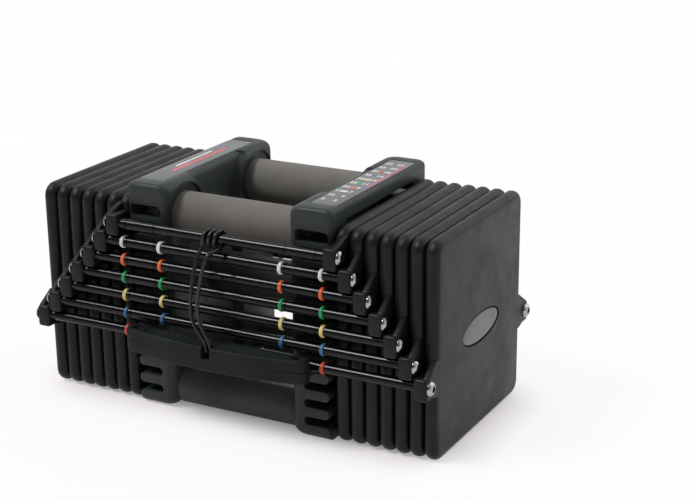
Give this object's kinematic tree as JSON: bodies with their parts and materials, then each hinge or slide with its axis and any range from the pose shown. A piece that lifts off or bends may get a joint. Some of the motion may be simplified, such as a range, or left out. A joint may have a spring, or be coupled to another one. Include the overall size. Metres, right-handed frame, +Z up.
{
  "type": "adjustable dumbbell",
  "caption": "Selector dumbbell of nested coated plates on colour-banded rails, with a padded core, a hand grip and a slide-in selector pin on an elastic tether.",
  "frame": {"origin": "on the floor, under the middle of the box round the whole object", "axes": "+X along the grip, -Y the side where the selector pin goes in, +Z up"},
  "size_m": [0.353, 0.21, 0.183],
  "materials": {
    "plate_coating": "matte urethane coat on steel",
    "rail_gloss": "gloss black coat",
    "band_white": "satin",
    "band_orange": "satin",
    "band_green": "satin",
    "band_yellow": "satin",
    "band_blue": "satin",
    "band_red": "satin",
    "screw_steel": "bright",
    "badge_grey": "satin",
    "block_plastic": "moulded satin",
    "panel_grey": "printed film",
    "tube_aluminium": "plain",
    "sleeve_foam": "matte foam skin",
    "adder_iron": "plain",
    "bar_rubber": "satin",
    "grip_steel": "plain",
    "grip_rubber": "fine moulded texture",
    "pin_plastic": "moulded matte",
    "prong_steel": "bright",
    "tether_cord": "braided elastic cord"
  },
  "bodies": {
    "dumbbell": {"blue_set_bands": "band_blue", "blue_set_front_rail": "rail_gloss", "blue_set_left_plate": "plate_coating", "blue_set_rear_rail": "rail_gloss", "blue_set_right_plate": "plate_coating", "core_front_rail": "rail_gloss", "core_left_plate": "plate_coating", "core_rear_rail": "rail_gloss", "core_right_plate": "plate_coating", "front_adder_weight": "adder_iron", "green_set_bands": "band_green", "green_set_front_rail": "rail_gloss", "green_set_left_plate": "plate_coating", "green_set_rear_rail": "rail_gloss", "green_set_right_plate": "plate_coating", "grip_bar": "grip_steel", "grip_sleeve": "grip_rubber", "label_panel": "panel_grey", "left_end_block": "block_plastic", "lower_front_bar": "bar_rubber", "lower_rear_bar": "bar_rubber", "orange_set_bands": "band_orange", "orange_set_front_rail": "rail_gloss", "orange_set_left_plate": "plate_coating", "orange_set_rear_rail": "rail_gloss", "orange_set_right_plate": "plate_coating", "oval_badges": "badge_grey", "rail_screws": "screw_steel", "rear_adder_weight": "adder_iron", "red_set_bands": "band_red", "red_set_front_rail": "rail_gloss", "red_set_left_plate": "plate_coating", "red_set_rear_rail": "rail_gloss", "red_set_right_plate": "plate_coating", "right_end_block": "block_plastic", "tether_strands": "tether_cord", "tether_wraps": "tether_cord", "upper_front_sleeve": "sleeve_foam", "upper_front_tube": "tube_aluminium", "upper_rear_sleeve": "sleeve_foam", "upper_rear_tube": "tube_aluminium", "weight_chart_panel": "panel_grey", "white_set_bands": "band_white", "white_set_front_rail": "rail_gloss", "white_set_left_plate": "plate_coating", "white_set_rear_rail": "rail_gloss", "white_set_right_plate": "plate_coating", "yellow_set_bands": "band_yellow", "yellow_set_front_rail": "rail_gloss", "yellow_set_left_plate": "plate_coating", "yellow_set_rear_rail": "rail_gloss", "yellow_set_right_plate": "plate_coating"},
    "selector_pin": {"pin_upper_shell": "pin_plastic", "pin_lower_shell": "pin_plastic", "right_prong": "prong_steel", "left_prong": "prong_steel", "pin_screws": "screw_steel"}
  },
  "joints": [
    {"name": "pin_slide", "type": "slide", "parent": "dumbbell", "child": "selector_pin", "axis": [0, -1, 0], "range_m": [0, 0.2], "deforming": ["tether_strands"]}
  ]
}
